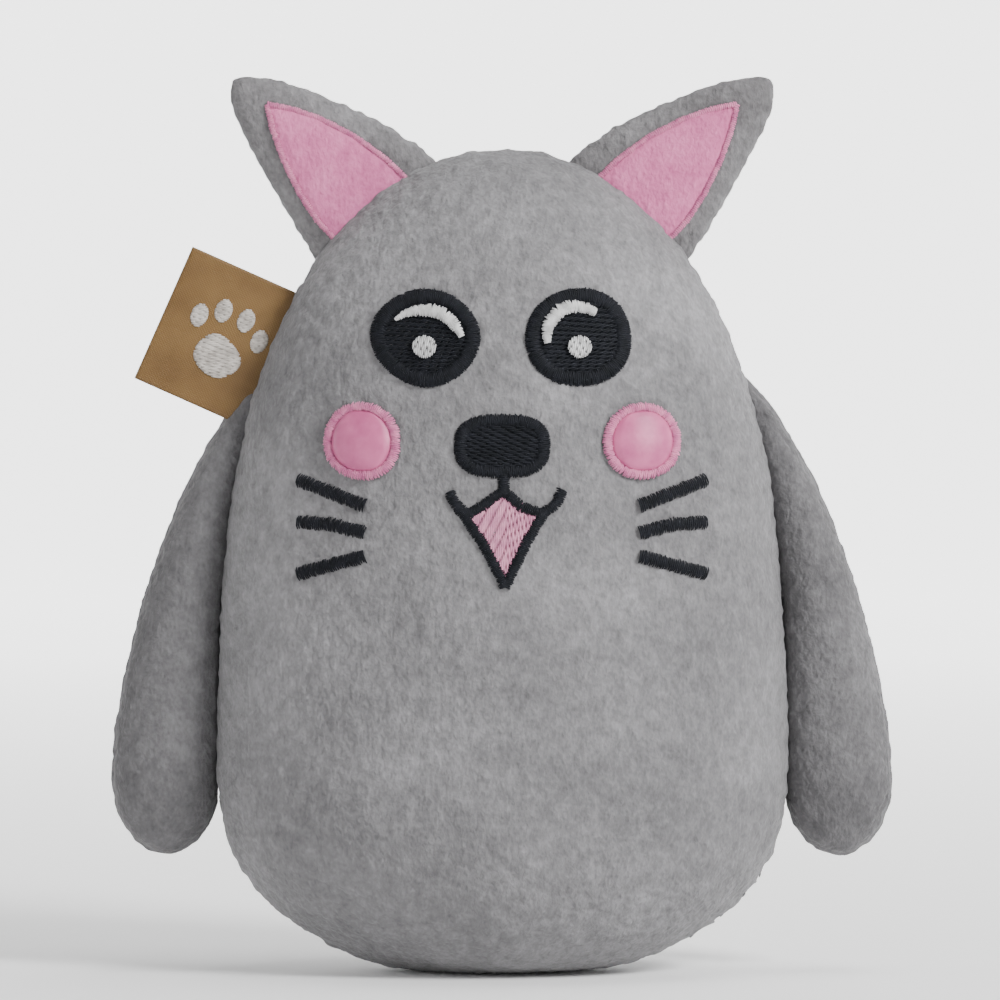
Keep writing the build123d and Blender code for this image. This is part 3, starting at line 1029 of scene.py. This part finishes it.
# ---- Stage, light and camera ----------------------------------------------------------------


def make_stage():
    """A pale round floor that curves up into a wall on every side, with a painted glow, strongest
    behind.
    """
    floor_reach, bend, wall_top = 1.7, 0.7, 1.3
    steps, sides = 12, 72
    profile = [(0.02, 0.0), (0.5, 0.0), (floor_reach, 0.0)]
    for step in range(1, steps + 1):
        turn = radians(90 * step / steps)
        profile.append((floor_reach + bend * sin(turn), bend - bend * cos(turn)))
    profile.append((floor_reach + bend, wall_top))
    points, faces = [(0, 0, 0)], []
    for radius, height in profile:
        for side in range(sides):
            turn = 2 * pi * side / sides
            points.append((radius * cos(turn), radius * sin(turn), height))
    for side in range(sides):
        after = (side + 1) % sides
        faces.append((0, 1 + side, 1 + after))
        for ring in range(len(profile) - 1):
            low, high = 1 + ring * sides, 1 + (ring + 1) * sides
            faces.append((low + side, high + side, high + after, low + after))
    pale = Finish("backdrop", roughness=0.9, specular=0.1)
    pale.shader.inputs["Base Color"].default_value = (0.9, 0.9, 0.9, 1)
    # Painted glow: the floor and wall give off light themselves, more further out and most behind the
    # toy.
    pale.shader.inputs["Emission Color"].default_value = (1, 1, 1, 1)
    position = pale.nodes.new("ShaderNodeSeparateXYZ")
    pale.links.new(pale.place, position.inputs["Vector"])
    distance = pale.nodes.new("ShaderNodeVectorMath")
    distance.operation = "LENGTH"
    pale.links.new(pale.place, distance.inputs[0])
    around = pale.combine(distance.outputs["Value"], 0.2, "MULTIPLY")
    around = pale.combine(around, 0.3, "MINIMUM")
    behind = pale.combine(position.outputs["Y"], 0.0, "MAXIMUM")
    behind = pale.combine(behind, 1.2, "MINIMUM")
    glow = pale.combine(behind, 1.6, "MULTIPLY_ADD", around)
    pale.links.new(glow, pale.shader.inputs["Emission Strength"])
    add_mesh("backdrop", points, faces, pale.material)


def add_light(name, place, target, size, power):
    """A round soft light, with its size across in metres and its power in watts."""
    data = bpy.data.lights.new(name, "AREA")
    data.shape = "DISK"
    data.size = size
    data.energy = power
    light = bpy.data.objects.new(name, data)
    light.location = place
    light.rotation_euler = (Vector(target) - Vector(place)).to_track_quat("-Z", "Y").to_euler()
    bpy.context.scene.collection.objects.link(light)


def make_lights():
    """A key from the right, a weak fill from the left, light from above and behind, and the room's."""
    target = (0, 0, 0.09)
    add_light("key", (0.75, -0.65, 0.75), target, 0.4, 20)
    add_light("fill", (-0.8, -0.8, 0.35), target, 0.9, 1.0)
    add_light("top", (0.25, 0.05, 1.1), target, 0.6, 6)
    add_light("back", (0.3, 0.9, 0.7), target, 0.8, 1.4)
    world = bpy.data.worlds.new("soft_room")
    world.use_nodes = True
    background = world.node_tree.nodes["Background"]
    background.inputs["Color"].default_value = (1, 1, 1, 1)
    background.inputs["Strength"].default_value = 0.15
    bpy.context.scene.world = world


def make_camera():
    """A long lens, a little above the toy's middle, that frames it as the photograph does."""
    data = bpy.data.cameras.new("camera")
    distance = 1.2
    seen_width = 0.195
    data.sensor_width = 36.0
    data.lens = data.sensor_width * distance / seen_width
    data.clip_end = 10
    camera = bpy.data.objects.new("camera", data)
    target = Vector((-0.0004, 0, 0.092))
    rise = radians(1.5)
    camera.location = target + Vector((0, -distance * cos(rise), distance * sin(rise)))
    camera.rotation_euler = (target - camera.location).to_track_quat("-Z", "Y").to_euler()
    bpy.context.scene.collection.objects.link(camera)
    bpy.context.scene.camera = camera


make_camera()
make_stage()
make_lights()
body_skin = make_body()
on_front = caster(body_skin)
make_eyes(on_front)
make_nose(on_front)
make_mouth(on_front)
make_cheeks(on_front)
make_whiskers(on_front)
make_ears()
make_arms()
make_label()
make_closing_stitches(body_skin)
